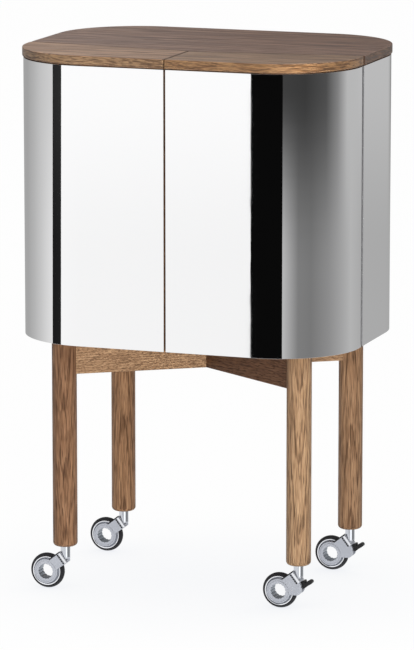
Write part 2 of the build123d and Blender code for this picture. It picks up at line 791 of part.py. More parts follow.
for name, (x, y) in leg_places.items():
    pieces[name + "_castor_fork"] = castor_fork(x, y, name in braked)
    pieces[name + "_castor_hub"] = castor_hub(x, y)
    pieces[name + "_wheel_rim"] = castor_rim(x, y)
    pieces[name + "_tyre"] = castor_tyre(x, y)
    if name in braked:
        pieces[name + "_brake_lever"] = brake_lever(x, y)

os.makedirs("parts", exist_ok=True)
for name, piece in pieces.items():
    piece.part.label = name
    export_step(piece.part, f"parts/{name}.step")
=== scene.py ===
import json
import math
import bpy
import numpy as np
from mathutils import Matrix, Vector

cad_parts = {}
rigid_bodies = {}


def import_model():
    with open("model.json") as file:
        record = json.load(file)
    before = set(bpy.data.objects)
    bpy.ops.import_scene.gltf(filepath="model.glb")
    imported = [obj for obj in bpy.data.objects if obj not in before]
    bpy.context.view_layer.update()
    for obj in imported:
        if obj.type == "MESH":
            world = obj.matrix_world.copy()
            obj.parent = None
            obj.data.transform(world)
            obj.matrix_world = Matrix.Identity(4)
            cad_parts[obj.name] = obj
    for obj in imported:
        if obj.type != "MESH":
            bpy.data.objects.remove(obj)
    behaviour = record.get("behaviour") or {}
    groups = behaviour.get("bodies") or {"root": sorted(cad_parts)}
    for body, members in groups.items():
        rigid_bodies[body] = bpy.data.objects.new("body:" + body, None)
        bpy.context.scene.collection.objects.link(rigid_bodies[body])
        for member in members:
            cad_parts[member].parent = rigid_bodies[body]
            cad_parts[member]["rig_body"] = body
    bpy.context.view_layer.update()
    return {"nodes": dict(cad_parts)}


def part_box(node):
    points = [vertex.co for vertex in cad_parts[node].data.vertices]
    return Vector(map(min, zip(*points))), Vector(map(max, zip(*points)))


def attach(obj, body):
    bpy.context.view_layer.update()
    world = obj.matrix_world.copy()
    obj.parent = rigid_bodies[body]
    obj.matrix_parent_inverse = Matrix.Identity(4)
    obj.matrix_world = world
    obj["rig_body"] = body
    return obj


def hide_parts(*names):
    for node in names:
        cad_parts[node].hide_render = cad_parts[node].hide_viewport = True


# Bar trolley: mirror-steel cabinet with an oak top, on oak legs and castors. Metres, +Z up, doors face -Y.

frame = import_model()
nodes = frame["nodes"]
scene = bpy.context.scene
corners = ("front_left", "front_right", "rear_left", "rear_right")
braked = ("front_right", "rear_right")
print("frame:", len(nodes), "nodes loaded")


# Small helpers for meshes and node trees

def gridFaces(rows, columns, closeRows=False, closeColumns=False):
    # quads between neighbours of a rows x columns grid of points that are numbered row by row
    r = np.arange(rows if closeRows else rows - 1)[:, None]
    c = np.arange(columns if closeColumns else columns - 1)[None, :]
    nextR = (r + 1) % rows
    nextC = (c + 1) % columns
    quads = np.stack(np.broadcast_arrays(
        r * columns + c, r * columns + nextC, nextR * columns + nextC, nextR * columns + c), -1)
    return quads.reshape(-1, 4)


def signedVolume(points, faces):
    # the tetrahedra from the origin to a fan of triangles on each face, for faces with as many corners
    p = points[np.array(faces)]
    fans = [np.einsum("ij,ij->i", p[:, 0], np.cross(p[:, k], p[:, k + 1])) for k in range(1, p.shape[1] - 1)]
    return np.sum(fans) / 6


def makePiece(name, points, faces, material, flatFaces=(), closed=True):
    # one mesh object at the origin; flatFaces are polygons that stay unsmoothed, such as a sheet's ends
    points = np.asarray(points, float).reshape(-1, 3)
    allFaces = [tuple(f) for f in np.asarray(faces).tolist()] + [tuple(f) for f in flatFaces]
    volume = signedVolume(points, faces) + sum(signedVolume(points, [tuple(f)]) for f in flatFaces)
    if closed and volume < 0:
        allFaces = [f[::-1] for f in allFaces]
    mesh = bpy.data.meshes.new(name)
    mesh.from_pydata(points.tolist(), [], allFaces)
    smooth = np.arange(len(allFaces)) < len(faces)
    mesh.polygons.foreach_set("use_smooth", smooth)
    mesh.materials.append(material)
    piece = bpy.data.objects.new(name, mesh)
    scene.collection.objects.link(piece)
    return piece


def evenNormals(piece):
    # large faces keep their own direction beside small rounded edges, so that they mirror straight
    even = piece.modifiers.new("evenNormals", "WEIGHTED_NORMAL")
    even.keep_sharp = True
    return piece


def addNode(tree, kind, inputs=None, **settings):
    made = tree.nodes.new(kind)
    for key, value in settings.items():
        setattr(made, key, value)
    for key, value in (inputs or {}).items():
        if isinstance(value, bpy.types.NodeSocket):
            tree.links.new(value, made.inputs[key])
        else:
            made.inputs[key].default_value = value
    return made


def calc(tree, operation, *values):
    return addNode(tree, "ShaderNodeMath", dict(enumerate(values)), operation=operation).outputs[0]


def vectorCalc(tree, operation, *values):
    return addNode(tree, "ShaderNodeVectorMath", dict(enumerate(values)), operation=operation).outputs[0]


def mixed(tree, share, first, second):
    # first where the share is 0, second where it is 1
    made = addNode(tree, "ShaderNodeMix", {"Factor": share, "A": first, "B": second}, data_type="RGBA")
    return made.outputs["Result"]


def between(tree, value, low, high):
    # low where the value is 0, high where it is 1
    return addNode(tree, "ShaderNodeMapRange", {"Value": value, "To Min": low, "To Max": high}).outputs[0]


def objectPlace(tree):
    return addNode(tree, "ShaderNodeTexCoord").outputs["Object"]


def mapped(tree, vector, **settings):
    # Location, Rotation and Scale of a Mapping node
    return addNode(tree, "ShaderNodeMapping", {"Vector": vector, **settings}).outputs[0]


def noise(tree, vector, detail=2.0):
    return addNode(tree, "ShaderNodeTexNoise", {"Vector": vector, "Scale": 1.0, "Detail": detail}).outputs


def ramp(tree, factor, stops):
    # stops are (place, grey) or (place, (red, green, blue))
    made = addNode(tree, "ShaderNodeValToRGB", {"Fac": factor})
    elements = made.color_ramp.elements
    while len(elements) < len(stops):
        elements.new(0.5)
    for element, (place, tone) in zip(elements, stops):
        element.position = place
        element.color = (*tone, 1) if isinstance(tone, tuple) else (tone, tone, tone, 1)
    return made.outputs["Color"]


def bump(tree, shader, height, distance):
    made = addNode(tree, "ShaderNodeBump", {"Height": height, "Distance": distance, "Strength": 1.0})
    tree.links.new(made.outputs["Normal"], shader.inputs["Normal"])


def newMaterial(name, **sockets):
    material = bpy.data.materials.new(name)
    material.use_nodes = True
    shader = material.node_tree.nodes["Principled BSDF"]
    for key, value in sockets.items():
        shader.inputs[key.replace("_", " ")].default_value = value
    return material, material.node_tree, shader


def emptyMaterial(name):
    material = bpy.data.materials.new(name)
    material.use_nodes = True
    material.node_tree.nodes.clear()
    return material, material.node_tree


def paint(material, *names):
    for name in names:
        nodes[name].material_slots[0].material = material


# Smoked oak: year rings round a trunk line beside the piece, streaks, fine fibres and short dark pores

oakLook = {
    "light": (0.470, 0.275, 0.152),
    "middle": (0.318, 0.172, 0.090),
    "dark": (0.168, 0.084, 0.042),
    "pore": (0.070, 0.034, 0.018),
    "toneSpread": 0.25,  # from the middle tone to the light and the dark one
    "ringSpacing": 0.0040,
    "earlyWood": [(0.0, 1.0), (0.08, 0.9), (0.28, 0.15), (0.55, 0.0), (0.94, 0.08), (1.0, 1.0)],
    "earlyMean": 0.25,  # of the stops above, about
    "bend": 0.009,
    "slowSize": (0.40, 0.06),  # length and width, as for streaks and fibres
    "streakSize": (0.11, 0.006),
    "fibreSize": (0.035, 0.0014),
    "weights": (0.30, 0.40, 0.75),  # of slow changes, streaks and fibres
    "poreScale": 0.6,
    "poreStops": [(0.55, 0.0), (0.65, 1.0)],
    "poreInEarly": 0.10,  # early wood has more pores
    "poreShare": 0.75,
    "poreDepth": 0.0002,
    "fibreRise": 0.35,  # of the pores' depth
    "edgeWay": 2.2,  # scale of the grain round the top's edge, and up it
    "edgeRise": 3.3,
    "edgeContrast": 1.8,
}
# painted shade beside the top's seams
seamForm = {
    "gap": 0.0022,
    "near": 0.0016,  # the painted shade fades from near to far beside the seam's middle
    "far": 0.0050,
    "share": 0.9,
    "hingeEnd": 0.30,  # upright faces show it only farther out than this
    "hingeShift": 0.003,
}


def edgeBand(tree, place):
    # on upright faces the grain follows the edge: the way round from the front, then the height. The
    # second value is 1 on level faces
    spot = addNode(tree, "ShaderNodeSeparateXYZ", {0: place}).outputs
    around = calc(tree, "ARCTAN2", spot["X"], calc(tree, "MULTIPLY", spot["Y"], -1.0))
    way = calc(tree, "MULTIPLY", around, oakLook["edgeWay"])
    height = calc(tree, "MULTIPLY", spot["Z"], oakLook["edgeRise"])
    along = addNode(tree, "ShaderNodeCombineXYZ", {"X": way, "Y": height}).outputs[0]
    normal = addNode(tree, "ShaderNodeNewGeometry").outputs["Normal"]
    rise = addNode(tree, "ShaderNodeSeparateXYZ", {0: normal}).outputs["Z"]
    level = calc(tree, "GREATER_THAN", calc(tree, "ABSOLUTE", rise), 0.5)
    mix = addNode(tree, "ShaderNodeMix", {"Factor": level, "A": along, "B": place}, data_type="VECTOR")
    return mix.outputs["Result"], level


def paintedSeamShade(tree, level):
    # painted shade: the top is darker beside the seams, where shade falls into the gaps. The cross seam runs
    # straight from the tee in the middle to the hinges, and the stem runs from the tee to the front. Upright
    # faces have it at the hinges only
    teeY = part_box("rear_top")[0].y - seamForm["gap"] / 2
    pinLow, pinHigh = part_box("right_hinge_pin")
    endX, endY = (pinLow.xy + pinHigh.xy) / 2
    spot = addNode(tree, "ShaderNodeSeparateXYZ", {0: objectPlace(tree)}).outputs
    away = calc(tree, "ABSOLUTE", spot["X"])
    seamY = calc(tree, "MULTIPLY_ADD", away, (endY - teeY) / endX, teeY)
    behind = calc(tree, "SUBTRACT", spot["Y"], seamY)
    behind = calc(tree, "SUBTRACT", behind, between(tree, level, seamForm["hingeShift"], 0.0))
    nearest = calc(tree, "MINIMUM", calc(tree, "ABSOLUTE", behind), calc(tree, "MAXIMUM", away, behind))
    paintedShade = addNode(tree, "ShaderNodeMapRange", {
        "Value": nearest, "From Min": seamForm["near"], "From Max": seamForm["far"],
        "To Min": seamForm["share"], "To Max": 0.0}).outputs[0]
    shown = calc(tree, "MAXIMUM", level, calc(tree, "GREATER_THAN", away, seamForm["hingeEnd"]))
    return calc(tree, "MULTIPLY", paintedShade, shown)


def oak(name, turn, trunkPlace, lean, seed, tone=(1, 1, 1), rings=0.2, gloss=0.2, roughness=(0.42, 0.62),
        edge=None, **changes):
    # turn brings the grain to X, the trunk line passes through trunkPlace and leans, seed picks another
    # piece of wood, tone lightens or darkens it, rings is how strongly the year rings show, edge is a painted
    # shade, the tone of upright faces against level ones as light falls on them, and changes are other
    # values than those of oakLook
    look = {**oakLook, **changes}
    material, tree, shader = newMaterial(name, Specular_IOR_Level=gloss)
    place = objectPlace(tree)
    if edge:
        place, level = edgeBand(tree, place)
    grain = mapped(tree, place, Rotation=turn, Location=tuple(-p for p in trunkPlace))
    trunk = mapped(tree, grain, Rotation=lean)

    def field(vector, size, detail):
        scale = (1 / size[0], 1 / size[1], 1 / size[1])
        return noise(tree, mapped(tree, vector, Scale=scale, Location=(seed, 0, 0)), detail)

    slow = field(trunk, look["slowSize"], detail=3.0)
    drift = vectorCalc(tree, "SUBTRACT", slow["Color"], (0.5,) * 3)
    bent = vectorCalc(tree, "MULTIPLY_ADD", drift, (look["bend"],) * 3, trunk)
    ringScale = math.pi / 10 / look["ringSpacing"]  # a ring wave of scale 1 repeats every tenth of pi
    year = addNode(tree, "ShaderNodeTexWave", {"Vector": bent, "Scale": ringScale},
                   wave_type="RINGS", rings_direction="X", wave_profile="SAW").outputs["Fac"]
    early = ramp(tree, year, look["earlyWood"])
    streak = field(bent, look["streakSize"], detail=3.0)["Fac"]
    fibre = field(bent, look["fibreSize"], detail=2.0)["Fac"]
    poreNoise = field(bent, [s * look["poreScale"] for s in look["fibreSize"]], detail=1.0)["Fac"]
    poreField = calc(tree, "MULTIPLY_ADD", early, look["poreInEarly"], poreNoise)
    pores = ramp(tree, poreField, look["poreStops"])

    # the sum of all patterns picks the tone, from dark over middle to light
    tones = calc(tree, "MULTIPLY", early, -rings)
    for part, weight in zip((slow["Fac"], streak, fibre), look["weights"]):
        tones = calc(tree, "MULTIPLY_ADD", part, weight, tones)
    centre = sum(look["weights"]) / 2 - look["earlyMean"] * rings
    if edge:
        # upright faces show end grain, with stronger lines
        strength = between(tree, level, look["edgeContrast"], 1.0)
        tones = calc(tree, "MULTIPLY_ADD", calc(tree, "SUBTRACT", tones, centre), strength, centre)
    spread = look["toneSpread"]
    stops = [(centre - spread, look["dark"]), (centre, look["middle"]), (centre + spread, look["light"])]
    ground = ramp(tree, tones, [(p, tuple(min(1.0, c * t) for c, t in zip(rgb, tone))) for p, rgb in stops])
    poreTone = tuple(c * t for c, t in zip(look["pore"], tone))
    colour = mixed(tree, calc(tree, "MULTIPLY", pores, look["poreShare"]), ground, (*poreTone, 1))
    # painted shade: upright faces are made darker or lighter than level faces, as light falls on them, and
    # the top is darker beside its seams
    if edge:
        uprightShade = mixed(tree, level, (*edge, 1), (1, 1, 1, 1))
        shaded = vectorCalc(tree, "MULTIPLY", colour, uprightShade)
        colour = mixed(tree, paintedSeamShade(tree, level), shaded, (*oakLook["pore"], 1))
    tree.links.new(colour, shader.inputs["Base Color"])
    tree.links.new(ramp(tree, pores, [(0.0, roughness[0]), (1.0, roughness[1])]), shader.inputs["Roughness"])
    fibreHeight = calc(tree, "MULTIPLY", fibre, look["fibreRise"])
    bump(tree, shader, calc(tree, "MULTIPLY_ADD", pores, -1.0, fibreHeight), look["poreDepth"])
    return material


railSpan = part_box("right_leaning_rail")[1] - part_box("right_leaning_rail")[0]
railAngle = math.atan2(railSpan.y, railSpan.x)
alongX = (0, 0, 0)
alongZ = (0, math.pi / 2, 0)

# each top's tone is partly the wood's own and partly painted light and sheen; edge is painted shade on its
# upright faces
topOak = {
    "rear": {"tone": (0.66, 0.62, 0.73), "edge": (0.47, 0.38, 0.20), "seed": 3.0},
    "left_door": {"tone": (1.12, 1.15, 1.25), "edge": (0.66, 0.66, 0.56), "seed": 12.0},
    "right_door": {"tone": (0.87, 0.89, 0.92), "edge": (0.80, 0.73, 0.56), "seed": 21.0},
}
topGrain = {
    "turn": alongX, "trunkPlace": (0, 0.05, 0.72), "lean": (0, 0.012, 0.010),
    "rings": 0.14, "gloss": 0.5, "roughness": (0.34, 0.50),
    "slowSize": (0.60, 0.045), "streakSize": (0.45, 0.010), "fibreSize": (0.16, 0.0060),
    "weights": (0.25, 0.80, 0.90), "bend": 0.004,
}
for part, look in topOak.items():
    paint(oak(part + "TopOak", **look, **topGrain), part + "_top")

boardGrain = {"turn": alongX, "trunkPlace": (0, 0.10, 0.35), "lean": (0, 0.012, 0.010), "seed": 41.0}
panelGrain = {"turn": alongZ, "trunkPlace": (0.7, 0.30, 0.10), "lean": (0, 0.015, 0.010), "seed": 47.0,
              "tone": (0.9, 0.9, 0.9)}
boardOak = oak("boardOak", **boardGrain)
panelOak = oak("panelOak", **panelGrain)
paint(boardOak, *[part + kind for part in topOak for kind in ("_bottom", "_shelf")])
paint(panelOak, *[part + "_panel" for part in topOak])

# the right rail's pale tone is partly painted light and sheen, and the left rail's dark tone is partly
# painted shade under the cabinet; the rest is the wood's own
railOak = {
    "right": {"turn": (0, 0, -railAngle), "seed": 54.0, "tone": (1.42, 1.58, 1.66), "rings": 0.06,
              "streakSize": (0.05, 0.006), "fibreSize": (0.009, 0.0015), "weights": (0.30, 0.25, 0.85)},
    "left": {"turn": (0, 0, railAngle), "seed": 59.0, "tone": (0.37, 0.31, 0.28), "rings": 0.12,
             "streakSize": (0.10, 0.007), "fibreSize": (0.022, 0.0020)},
}
railGrain = {"trunkPlace": (0, 0.10, 0.30), "lean": (0, 0.02, 0.01)}
for side, look in railOak.items():
    paint(oak(side + "RailOak", **look, **railGrain), side + "_leaning_rail")

# the trunk line runs some way behind each leg and leans, so that the rings arch down its front
legOak = {
    "front_left": {"tone": (0.835, 0.795, 0.785), "behind": 0.055, "lean": 0.030, "seed": 67.0},
    # the front right leg's paler, yellower tone is partly painted sheen
    "front_right": {"tone": (1.13, 1.24, 1.27), "behind": 0.070, "lean": 0.028, "seed": 73.0},
    "rear_left": {"tone": (1.04, 1.02, 0.98), "behind": 0.045, "lean": -0.024, "seed": 79.0},
    "rear_right": {"tone": (0.91, 0.94, 0.95), "behind": 0.050, "lean": -0.026, "seed": 85.0},
}
legGrain = {"rings": 0.16, "streakSize": (0.07, 0.0020), "fibreSize": (0.030, 0.0010),
            "weights": (0.25, 0.75, 0.65), "poreScale": 1.4, "bend": 0.005}
legFront = Vector((0.334, -0.943))  # the way that the arches face, in plan
for corner, look in legOak.items():
    low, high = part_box(corner + "_leg")
    middle = (low + high) / 2
    line = middle.xy - legFront * look["behind"]
    trunkPlace = (middle.z, line.y, -line.x)
    lean = (0, legFront.x * look["lean"], legFront.y * look["lean"])
    paint(oak(corner + "LegOak", alongZ, trunkPlace, lean, look["seed"], look["tone"], **legGrain),
          corner + "_leg")
print("oak: top, boards, panels, rails and legs")


# Metals, rubber and plastic

mirrorForm = {
    "colour": (0.76, 0.76, 0.764),
    "rippleScale": (9, 9, 26),
    "rippleDepth": 0.00006,
    "wipeScale": (14, 14, 5),
    "wipeRoughness": [(0.35, 0.012), (0.75, 0.040)],
}
metalForms = {
    "hingeSteel": {"colour": (0.49, 0.49, 0.50), "roughness": (0.34, 0.44),
                   "grainScale": (300, 300, 2500), "grainDepth": 0.00002, "metallic": 0.9},
    "satinZinc": {"colour": (0.505, 0.525, 0.575), "roughness": (0.30, 0.42),
                  "grainScale": (900, 900, 900), "grainDepth": 0.00006, "metallic": 0.8},
    "chromePlate": {"colour": (0.86, 0.87, 0.88), "roughness": (0.05, 0.11),
                    "grainScale": (200, 200, 200), "grainDepth": 0.00001},
    # the bore's darker zinc is partly painted shade inside the hub
    "boreZinc": {"colour": (0.30, 0.33, 0.37), "roughness": (0.34, 0.46),
                 "grainScale": (900, 900, 900), "grainDepth": 0.00006},
    "screwSteel": {"colour": (0.55, 0.55, 0.56), "roughness": (0.25, 0.36),
                   "grainScale": (600, 600, 600), "grainDepth": 0.00003},
    "brightSleeve": {"colour": (0.60, 0.62, 0.66), "roughness": (0.06, 0.10),
                     "grainScale": (300, 300, 40), "grainDepth": 0.000005},
    "polishedRim": {"colour": (0.84, 0.85, 0.875), "roughness": (0.05, 0.12),
                    "grainScale": (200, 200, 200), "grainDepth": 0.00001},
}
darkForms = {
    "blackTyre": {"colour": (0.017, 0.017, 0.020), "roughness": (0.48, 0.62),
                  "grainScale": 1400, "grainDepth": 0.00008},
    "blackPlastic": {"colour": (0.014, 0.014, 0.015), "roughness": (0.34, 0.46),
                     "grainScale": 1800, "grainDepth": 0.00005},
}
cloudForm = {"metalScale": 120, "darkScale": 90, "from": 0.3, "to": 0.7}
darkLook = {"dim": 0.7, "gloss": 0.25}


def mirrorSteel():
    # polished sheet: nearly smooth, with a slow ripple from rolling and faint wipe marks
    material, tree, shader = newMaterial("mirrorSteel", Base_Color=(*mirrorForm["colour"], 1), Metallic=1.0)
    place = objectPlace(tree)
    ripple = noise(tree, mapped(tree, place, Scale=mirrorForm["rippleScale"]), 1.0)["Fac"]
    bump(tree, shader, ripple, mirrorForm["rippleDepth"])
    wipes = noise(tree, mapped(tree, place, Scale=mirrorForm["wipeScale"]), 3.0)["Fac"]
    tree.links.new(ramp(tree, wipes, mirrorForm["wipeRoughness"]), shader.inputs["Roughness"])
    return material


def cloudy(tree, pattern, low, high):
    # from low to high over the middle of a noise pattern
    return ramp(tree, pattern, [(cloudForm["from"], low), (cloudForm["to"], high)])


def metal(name, colour, roughness, grainScale, grainDepth, metallic=1.0):
    # roughness is the range that a cloudy pattern moves in; the grain is a fine cast or brushed surface
    material, tree, shader = newMaterial(name, Base_Color=(*colour, 1), Metallic=metallic)
    place = objectPlace(tree)
    grain = noise(tree, mapped(tree, place, Scale=grainScale), 3.0)["Fac"]
    cloud = noise(tree, mapped(tree, place, Scale=(cloudForm["metalScale"],) * 3))["Fac"]
    tree.links.new(cloudy(tree, cloud, *roughness), shader.inputs["Roughness"])
    bump(tree, shader, grain, grainDepth)
    return material


def darkSolid(name, colour, roughness, grainScale, grainDepth):
    # rubber or moulded plastic, with a fine even grain
    material, tree, shader = newMaterial(name, Specular_IOR_Level=darkLook["gloss"])
    place = objectPlace(tree)
    grain = noise(tree, mapped(tree, place, Scale=(grainScale,) * 3))["Fac"]
    cloud = noise(tree, mapped(tree, place, Scale=(cloudForm["darkScale"],) * 3))["Fac"]
    dim = tuple(c * darkLook["dim"] for c in colour)
    tree.links.new(cloudy(tree, cloud, dim, colour), shader.inputs["Base Color"])
    tree.links.new(cloudy(tree, grain, *roughness), shader.inputs["Roughness"])
    bump(tree, shader, grain, grainDepth)
    return material


finishes = {"mirrorSteel": mirrorSteel()}
finishes.update({name: metal(name, **form) for name, form in metalForms.items()})
finishes.update({name: darkSolid(name, **form) for name, form in darkForms.items()})

for side in ("left", "right"):
    paint(finishes["hingeSteel"], *[side + "_hinge" + part for part in ("_fixed_leaf", "_door_leaf", "_pin")])
    paint(finishes["screwSteel"], side + "_hinge_screws", side + "_strike_plate")
    paint(finishes["chromePlate"], side + "_bottle_bar")
paint(finishes["hingeSteel"], "mount_plate")
paint(finishes["screwSteel"], "hinge_frame_screws", "frame_screws", "catch_magnets", "shelf_pins")
paint(finishes["blackPlastic"], "leg_spacers", *[corner + "_brake_lever" for corner in braked])
paint(finishes["chromePlate"], "castor_stems")
paint(finishes["satinZinc"], *[corner + "_castor_fork" for corner in corners])
print("metals, rubber and plastic")


# Steel skins: a thin rounded sheet section carried along the plan of the cabinet

skinForm = {
    "cornerRadius": 0.150,
    "edgeRound": 0.0003,
    "backGap": 0.00015,
    "hingeRelief": 0.0021,
    "arcSteps": 110,
    "straightStep": 0.004,
    "edgeSteps": 4,
}


def straightRun(start, end, normal):
    # evenly spaced points of a straight stretch, each with the same outward direction
    count = max(2, int(math.dist(start, end) / skinForm["straightStep"]))
    t = np.linspace(0, 1, count)[:, None]
    points = np.array(start) * (1 - t) + np.array(end) * t
    return points, np.broadcast_to(np.array(normal, float), points.shape)


def roundRun(middle, fromAngle, toAngle):
    # a corner of the plan: a circle about its middle, whose radius line is the outward direction
    angle = np.radians(np.linspace(fromAngle, toAngle, skinForm["arcSteps"]))
    normal = np.stack([np.cos(angle), np.sin(angle)], 1)
    return np.array(middle) + skinForm["cornerRadius"] * normal, normal


def joined(*runs):
    # one path from several, each without its last point, which the next one starts with
    points = np.concatenate([run[0][:-1] for run in runs] + [runs[-1][0][-1:]])
    normals = np.concatenate([run[1][:-1] for run in runs] + [runs[-1][1][-1:]])
    return points, normals


def sheetSection(low, high, thickness):
    # (depth behind the outer face, height) round a sheet's section, with its four edges rounded
    r = skinForm["edgeRound"]
    turns = [(r, high - r, 180, 90), (thickness - r, high - r, 90, 0),
             (thickness - r, low + r, 0, -90), (r, low + r, -90, -180)]
    section = []
    for depth, height, fromAngle, toAngle in turns:
        angle = np.radians(np.linspace(fromAngle, toAngle, skinForm["edgeSteps"]))
        section.append(np.stack([depth + r * np.cos(angle), height + r * np.sin(angle)], 1))
    return np.concatenate(section)


def steelSkin(name, path, section):
    # a point of the skin lies its section's depth behind the path, at its section's height
    points, normals = path
    rows, columns = len(points), len(section)
    xy = points[:, None, :] - normals[:, None, :] * section[None, :, :1]
    z = np.broadcast_to(section[None, :, 1:], (rows, columns, 1))
    ends = [range(columns)[::-1], range((rows - 1) * columns, rows * columns)]
    faces = gridFaces(rows, columns, closeColumns=True)
    piece = makePiece(name + "_sheet", np.concatenate([xy, z], 2), faces, finishes["mirrorSteel"], ends)
    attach(evenNormals(piece), nodes[name]["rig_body"])
    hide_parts(name)


skinLow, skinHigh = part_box("rear_skin")
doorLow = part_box("right_door_skin")[0]
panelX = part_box("right_door_panel")[1].x
hingeY = sum(p.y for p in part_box("right_hinge_pin")) / 2
sideX, rearY, frontY = skinHigh.x, skinHigh.y, doorLow.y
turnX = sideX - skinForm["cornerRadius"]
turnY = rearY - skinForm["cornerRadius"]
doorEdge = hingeY - skinForm["hingeRelief"]
rearEdge = hingeY + skinForm["hingeRelief"]
section = sheetSection(skinLow.z, skinHigh.z, sideX - panelX - skinForm["backGap"])
rightDoorPath = joined(
    straightRun((doorLow.x, frontY), (turnX, frontY), (0, -1)),
    roundRun((turnX, -turnY), -90, 0),
    straightRun((sideX, -turnY), (sideX, doorEdge), (1, 0)))
mirrorX = np.array([-1, 1])
leftDoorPath = tuple(a[::-1] * mirrorX for a in rightDoorPath)
rearPath = joined(
    straightRun((sideX, rearEdge), (sideX, turnY), (1, 0)),
    roundRun((turnX, turnY), 0, 90),
    straightRun((turnX, rearY), (-turnX, rearY), (0, 1)),
    roundRun((-turnX, turnY), 90, 180),
    straightRun((-sideX, turnY), (-sideX, rearEdge), (-1, 0)))
steelSkin("right_door_skin", rightDoorPath, section)
steelSkin("left_door_skin", leftDoorPath, section)
steelSkin("rear_skin", rearPath, section)
print("steel skins")


# Castor wheels: tyre, rim and hub are profiles turned about the axle

wheelForm = {
    "steps": 144,
    "treadSteps": 25,
    "wallSteps": 6,
    "crownDrop": 0.00315,
    "shoulderRound": 0.0012,
    "shoulderFrom": 70,
    "shoulderTo": -20,
    "rimLip": 0.0028,
    "rimChamfer": 0.0004,
    "rimDish": 0.0024,
    "dishSlope": 0.0008,
    "boreEdge": (0.0005, 0.0006),  # along the axle and across it
    "hubClearance": 0.00005,
    "hubEdge": 0.0005,
    "boreRadius": 0.0135,
    "fluteCount": 16,
    "fluteRadius": 0.0009,
    "fluteSteps": 14,
}


def turned(name, middle, y, radius, material, darker=None, darkColumn=None):
    # a profile carried round the axle: x and z are the radius times the angle's cosine and sine. y has
    # one value for each point of the profile, and radius may also change with the angle. The stretch of
    # the profile after darkColumn takes the darker material
    rows, columns = radius.shape
    angle = np.linspace(0, 2 * np.pi, rows, endpoint=False)[:, None]
    points = np.stack(np.broadcast_arrays(
        middle.x + radius * np.cos(angle),
        middle.y + y[None, :],
        middle.z + radius * np.sin(angle)), 2)
    piece = makePiece(name, points, gridFaces(rows, columns, True, True), material)
    if darker:
        piece.data.materials.append(darker)
        dark = np.arange(rows * columns) % columns == darkColumn
        piece.data.polygons.foreach_set("material_index", dark.astype(np.int32))
    return evenNormals(piece)


def tyreProfile(half, seatHalf, outer, inner):
    # a tread that falls with the square of the way out, two rounded shoulders, and straight walls to the seat
    form = wheelForm
    across = np.linspace(-1, 1, form["treadSteps"])
    r = form["shoulderRound"]
    treadY = across * (half - r)
    treadR = outer - form["crownDrop"] * across ** 2
    turn = np.radians(np.linspace(form["shoulderFrom"], form["shoulderTo"], form["wallSteps"]))
    edgeY = half - r + r * np.cos(turn)
    edgeR = treadR[-1] + r * (np.sin(turn) - np.sin(turn[0]))
    down = np.linspace(0, 1, form["wallSteps"])
    wallY = edgeY[-1] + (seatHalf - edgeY[-1]) * down
    wallR = edgeR[-1] + (inner - edgeR[-1]) * down
    y = np.concatenate([treadY, edgeY[1:], wallY[1:], -wallY[::-1], -edgeY[::-1][1:-1]])
    radius = np.concatenate([treadR, edgeR[1:], wallR[1:], wallR[::-1], edgeR[::-1][1:-1]])
    return y, radius


def rimProfile(half, outer, bore):
    # a flat lip beside the tyre, a hollow, and a bevelled bore edge, then the same on the other side
    form = wheelForm
    lip = outer - form["rimLip"]
    hollow = half - form["rimDish"]
    inward, outward = form["boreEdge"]
    halfY = np.array([half - form["rimChamfer"], half, half, hollow, hollow, hollow - inward])
    halfR = np.array([outer, outer - form["rimChamfer"], lip, lip - form["dishSlope"], bore + outward, bore])
    return np.concatenate([halfY, -halfY[::-1]]), np.concatenate([halfR, halfR[::-1]])


def flutedBore():
    # the bore's radius at each angle: it swells by a flute's own circle wherever a flute lies on it
    form = wheelForm
    count = form["fluteCount"]
    angle = np.linspace(0, 2 * np.pi, count * form["fluteSteps"], endpoint=False)
    offset = ((angle * count / (2 * np.pi) + 0.5) % 1 - 0.5) * 2 * np.pi / count
    reach = form["fluteRadius"] ** 2 - (form["boreRadius"] * np.sin(offset)) ** 2
    fluted = form["boreRadius"] * np.cos(offset) + np.sqrt(np.maximum(reach, 0))
    return np.where(reach > 0, np.maximum(fluted, form["boreRadius"]), form["boreRadius"])[:, None]


for corner in corners:
    low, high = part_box(corner + "_tyre")
    middle = (low + high) / 2
    outer = (high.z - low.z) / 2
    rimLow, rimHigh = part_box(corner + "_wheel_rim")
    hubLow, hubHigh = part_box(corner + "_castor_hub")
    rimRadius = (rimHigh.z - rimLow.z) / 2
    hubRadius = (hubHigh.z - hubLow.z) / 2
    rimHalf = (rimHigh.y - rimLow.y) / 2
    hubHalf = (hubHigh.y - hubLow.y) / 2
    wheelBody = corner + "_wheel"
    rows = wheelForm["steps"]

    y, radius = tyreProfile((high.y - low.y) / 2, rimHalf, outer, rimRadius)
    radius = np.broadcast_to(radius, (rows, len(radius)))
    tyre = turned(corner + "_tyre_ring", middle, y, radius, finishes["blackTyre"])
    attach(tyre, wheelBody)
    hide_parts(corner + "_tyre")

    y, radius = rimProfile(rimHalf, rimRadius, hubRadius + wheelForm["hubClearance"])
    radius = np.broadcast_to(radius, (rows, len(radius)))
    rim = turned(corner + "_rim_ring", middle, y, radius, finishes["polishedRim"])
    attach(rim, wheelBody)
    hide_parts(corner + "_wheel_rim")

    boreR = flutedBore()
    edge = wheelForm["hubEdge"]
    ones = np.ones_like(boreR)
    halfY = np.array([hubHalf - edge, hubHalf, hubHalf, hubHalf - edge])
    halfR = [hubRadius * ones, (hubRadius - edge) * ones, boreR + edge, boreR]
    y = np.concatenate([halfY, -halfY[::-1]])
    radius = np.concatenate(halfR + halfR[::-1], 1)
    # the bore takes the darker zinc, partly painted shade
    hub = turned(corner + "_hub_ring", middle, y, radius, finishes["satinZinc"],
                 darker=finishes["boreZinc"], darkColumn=len(halfY) - 1)
    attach(hub, corner + "_swivel")
    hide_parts(corner + "_castor_hub")
print("castor wheels")
